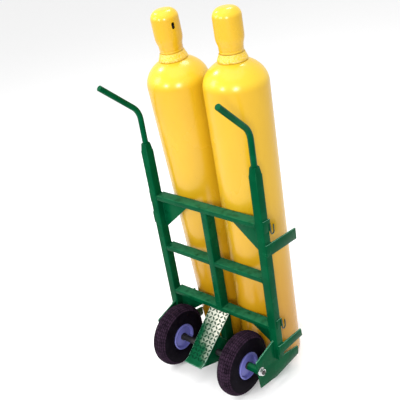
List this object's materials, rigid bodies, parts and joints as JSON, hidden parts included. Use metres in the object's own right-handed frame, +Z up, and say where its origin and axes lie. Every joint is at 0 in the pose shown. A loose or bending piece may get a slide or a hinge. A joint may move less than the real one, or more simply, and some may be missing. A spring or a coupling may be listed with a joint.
{
  "type": "oxy acetylene torch cart",
  "caption": "Steel hand truck with bent handles, a foot plate and pneumatic tyres, carrying capped gas cylinders side by side",
  "frame": {"origin": "on the floor, midway between the uprights, in the plane of their rear faces", "axes": "+Z up, +X to the right as the operator sees it from behind, +Y from the operator towards the cylinders"},
  "size_m": [0.572, 0.5373, 1.4266],
  "materials": {
    "cart_paint": "glossy green enamel",
    "foot_plate_paint": "glossy green enamel on diamond plate",
    "axle_black": "black",
    "bright_hardware": "zinc plated",
    "hook_steel": "dark green enamel",
    "tyre_rubber": "black rubber",
    "rim_paint": "violet-blue enamel",
    "valve_rubber": "black rubber",
    "cylinder_paint": "yellow enamel",
    "neck_ring_paint": "yellow enamel",
    "cap_paint": "yellow enamel",
    "brass": "machined brass",
    "handwheel_paint": "dark grey enamel"
  },
  "bodies": {
    "frame": {"left_upright": "cart_paint", "right_upright": "cart_paint", "left_handle": "cart_paint", "right_handle": "cart_paint", "top_cross_member": "cart_paint", "middle_cross_member": "cart_paint", "lower_cross_member": "cart_paint", "center_post": "cart_paint", "upper_gussets": "cart_paint", "lower_gussets": "cart_paint", "left_side_plate": "cart_paint", "right_side_plate": "cart_paint", "base_tray": "cart_paint", "tray_back_plate": "cart_paint", "left_upper_bar": "cart_paint", "right_upper_bar": "cart_paint", "left_lower_bar": "cart_paint", "right_lower_bar": "cart_paint", "hook_brackets": "cart_paint", "chain_hooks": "hook_steel", "foot_plate": "foot_plate_paint", "foot_plate_ribs": "cart_paint", "axle": "axle_black", "axle_washers": "bright_hardware", "axle_nuts": "bright_hardware", "outer_spacers": "cart_paint", "inner_spacers": "axle_black"},
    "left_wheel": {"left_tyre": "tyre_rubber", "left_rim_inner": "rim_paint", "left_rim_outer": "rim_paint", "left_hub": "axle_black", "left_bearings": "bright_hardware", "left_tyre_valve": "valve_rubber"},
    "left_gas_cylinder": {"left_cylinder": "cylinder_paint", "left_neck_ring": "neck_ring_paint", "left_valve_body": "brass", "left_outlet_nut": "brass", "left_relief_plug": "brass"},
    "left_valve_wheel": {"left_valve_spindle": "bright_hardware", "left_handwheel": "handwheel_paint"},
    "left_guard_cap": {"left_cap": "cap_paint"},
    "right_wheel": {"right_tyre": "tyre_rubber", "right_rim_inner": "rim_paint", "right_rim_outer": "rim_paint", "right_hub": "axle_black", "right_bearings": "bright_hardware", "right_tyre_valve": "valve_rubber"},
    "right_gas_cylinder": {"right_cylinder": "cylinder_paint", "right_neck_ring": "neck_ring_paint", "right_valve_body": "brass", "right_outlet_nut": "brass", "right_relief_plug": "brass"},
    "right_valve_wheel": {"right_valve_spindle": "bright_hardware", "right_handwheel": "handwheel_paint"},
    "right_guard_cap": {"right_cap": "cap_paint"}
  },
  "joints": [
    {"name": "left_wheel_spin", "type": "hinge", "parent": "frame", "child": "left_wheel", "pos_m": [-0.1685, -0.0927, 0.1285], "axis": [1, 0, 0], "continuous": true},
    {"name": "right_wheel_spin", "type": "hinge", "parent": "frame", "child": "right_wheel", "pos_m": [0.1685, -0.0927, 0.1285], "axis": [1, 0, 0], "continuous": true},
    {"name": "left_cylinder_lift", "type": "slide", "parent": "frame", "child": "left_gas_cylinder", "axis": [-0.0209, -0.0494, 0.9986], "range_m": [0, 0.3]},
    {"name": "left_cap_off", "type": "slide", "parent": "left_gas_cylinder", "child": "left_guard_cap", "axis": [-0.0209, -0.0494, 0.9986], "range_m": [0, 0.18]},
    {"name": "left_valve_turn", "type": "hinge", "parent": "left_gas_cylinder", "child": "left_valve_wheel", "pos_m": [-0.15687, 0.13373, 1.34157], "axis": [-0.0209, -0.0494, 0.9986], "range_deg": [0, 720]},
    {"name": "right_cylinder_lift", "type": "slide", "parent": "frame", "child": "right_gas_cylinder", "axis": [-0.0061, 0, 1], "range_m": [0, 0.3]},
    {"name": "right_cap_off", "type": "slide", "parent": "right_gas_cylinder", "child": "right_guard_cap", "axis": [-0.0061, 0, 1], "range_m": [0, 0.18]},
    {"name": "right_valve_turn", "type": "hinge", "parent": "right_gas_cylinder", "child": "right_valve_wheel", "pos_m": [0.1013, 0.1647, 1.34826], "axis": [-0.0061, 0, 1], "range_deg": [0, 720]}
  ]
}
